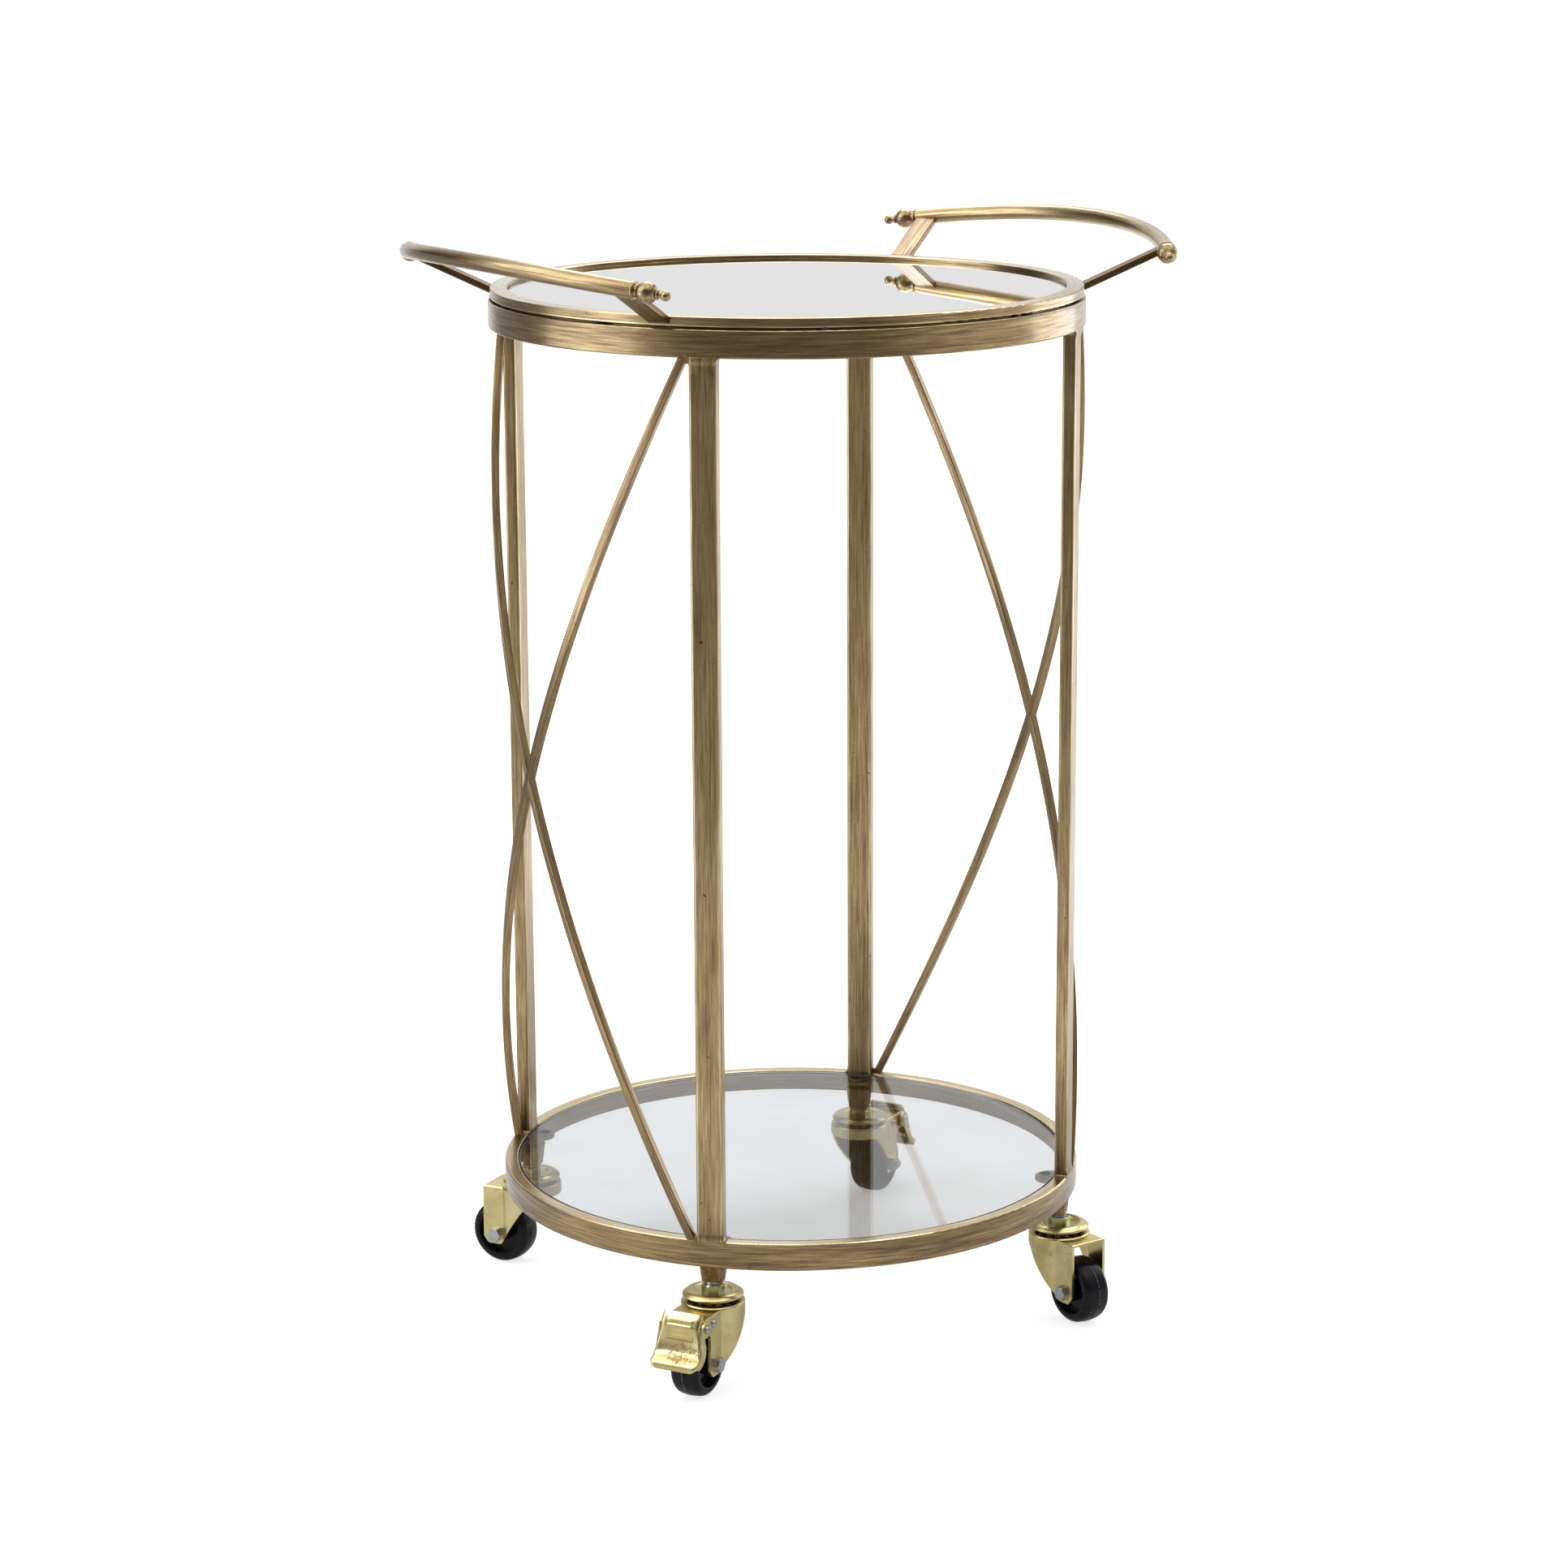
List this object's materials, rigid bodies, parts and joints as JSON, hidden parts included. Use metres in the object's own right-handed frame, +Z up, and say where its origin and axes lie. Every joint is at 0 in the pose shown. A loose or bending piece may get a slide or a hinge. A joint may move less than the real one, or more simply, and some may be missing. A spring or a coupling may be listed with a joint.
{
  "type": "bar cart",
  "caption": "Round two-tier bar cart with a lift-off mirrored tray with two bent handles, an inset glass shelf, crossed curved braces and swivel casters, some braked.",
  "frame": {"origin": "on the floor, on the cart's vertical centre line", "axes": "+Z up, +X and -X towards the two handles, -Y the front"},
  "size_m": [0.5634, 0.44, 0.8201],
  "materials": {
    "antique_brass": "brushed antique brass, darker in the recesses and rubbed lighter on the edges",
    "plated_gold": "bright yellow plating over stamped steel",
    "zinc_steel": "bright zinc plate",
    "black_wheel": "glossy moulded black",
    "clear_glass": "clear tempered glass with a green edge",
    "mirror_glass": "polished silvered mirror",
    "clear_bumper": "clear soft bumper",
    "rubber_pad": "matt black pad"
  },
  "bodies": {
    "frame": {"bottom_ring": "antique_brass", "brace_left_falling": "antique_brass", "brace_left_rising": "antique_brass", "brace_right_falling": "antique_brass", "brace_right_rising": "antique_brass", "caster_stem_back_left": "zinc_steel", "caster_stem_back_right": "zinc_steel", "caster_stem_front_left": "zinc_steel", "caster_stem_front_right": "zinc_steel", "glass_shelf": "clear_glass", "leg_back_left": "antique_brass", "leg_back_right": "antique_brass", "leg_front_left": "antique_brass", "leg_front_right": "antique_brass", "leg_stubs": "antique_brass", "shelf_bumpers": "clear_bumper", "shelf_tabs": "antique_brass", "stem_nuts": "zinc_steel", "swivel_balls": "zinc_steel", "swivel_cap_back_left": "plated_gold", "swivel_cap_back_right": "plated_gold", "swivel_cap_front_left": "plated_gold", "swivel_cap_front_right": "plated_gold", "top_ring": "antique_brass", "tray_pads": "rubber_pad"},
    "tray": {"finials_left": "antique_brass", "finials_right": "antique_brass", "handle_bar_left": "antique_brass", "handle_bar_right": "antique_brass", "handle_brackets_left": "antique_brass", "handle_brackets_right": "antique_brass", "mirror_plate": "mirror_glass", "tray_lip": "antique_brass", "tray_pan": "antique_brass", "tray_ring": "antique_brass"},
    "caster_back_left": {"axle_bolt_back_left": "zinc_steel", "axle_nut_back_left": "zinc_steel", "axle_sleeve_back_left": "zinc_steel", "fork_back_left": "plated_gold"},
    "caster_back_right": {"axle_bolt_back_right": "zinc_steel", "axle_nut_back_right": "zinc_steel", "axle_sleeve_back_right": "zinc_steel", "brake_rivets_back_right": "zinc_steel", "fork_back_right": "plated_gold"},
    "caster_front_left": {"axle_bolt_front_left": "zinc_steel", "axle_nut_front_left": "zinc_steel", "axle_sleeve_front_left": "zinc_steel", "brake_rivets_front_left": "zinc_steel", "fork_front_left": "plated_gold"},
    "caster_front_right": {"axle_bolt_front_right": "zinc_steel", "axle_nut_front_right": "zinc_steel", "axle_sleeve_front_right": "zinc_steel", "fork_front_right": "plated_gold"},
    "pedal_back_right": {"brake_pedal_back_right": "plated_gold"},
    "pedal_front_left": {"brake_pedal_front_left": "plated_gold"},
    "wheel_back_left": {"wheel_back_left": "black_wheel"},
    "wheel_back_right": {"wheel_back_right": "black_wheel"},
    "wheel_front_left": {"wheel_front_left": "black_wheel"},
    "wheel_front_right": {"wheel_front_right": "black_wheel"}
  },
  "joints": [
    {"name": "tray_lift", "type": "slide", "parent": "frame", "child": "tray", "axis": [0, 0, 1], "range_m": [0, 0.05]},
    {"name": "swivel_front_left", "type": "hinge", "parent": "frame", "child": "caster_front_left", "pos_m": [-0.14991, -0.14991, 0.067], "axis": [0, 0, 1], "continuous": true},
    {"name": "roll_front_left", "type": "hinge", "parent": "caster_front_left", "child": "wheel_front_left", "pos_m": [-0.17034, -0.16343, 0.025], "axis": [0.5519, -0.8339, 0], "continuous": true},
    {"name": "brake_front_left", "type": "hinge", "parent": "caster_front_left", "child": "pedal_front_left", "pos_m": [-0.18576, -0.17364, 0.058], "axis": [0.5519, -0.8339, 0], "range_deg": [0, 18]},
    {"name": "swivel_front_right", "type": "hinge", "parent": "frame", "child": "caster_front_right", "pos_m": [0.14991, -0.14991, 0.067], "axis": [0, 0, 1], "continuous": true},
    {"name": "roll_front_right", "type": "hinge", "parent": "caster_front_right", "child": "wheel_front_right", "pos_m": [0.15247, -0.17427, 0.025], "axis": [0.9945, 0.1045, 0], "continuous": true},
    {"name": "swivel_back_left", "type": "hinge", "parent": "frame", "child": "caster_back_left", "pos_m": [-0.14991, 0.14991, 0.067], "axis": [0, 0, 1], "continuous": true},
    {"name": "roll_back_left", "type": "hinge", "parent": "caster_back_left", "child": "wheel_back_left", "pos_m": [-0.16361, 0.17022, 0.025], "axis": [-0.829, -0.5592, 0], "continuous": true},
    {"name": "swivel_back_right", "type": "hinge", "parent": "frame", "child": "caster_back_right", "pos_m": [0.14991, 0.14991, 0.067], "axis": [0, 0, 1], "continuous": true},
    {"name": "roll_back_right", "type": "hinge", "parent": "caster_back_right", "child": "wheel_back_right", "pos_m": [0.17112, 0.16216, 0.025], "axis": [-0.5, 0.866, 0], "continuous": true},
    {"name": "brake_back_right", "type": "hinge", "parent": "caster_back_right", "child": "pedal_back_right", "pos_m": [0.18715, 0.17141, 0.058], "axis": [-0.5, 0.866, 0], "range_deg": [0, 18]}
  ]
}
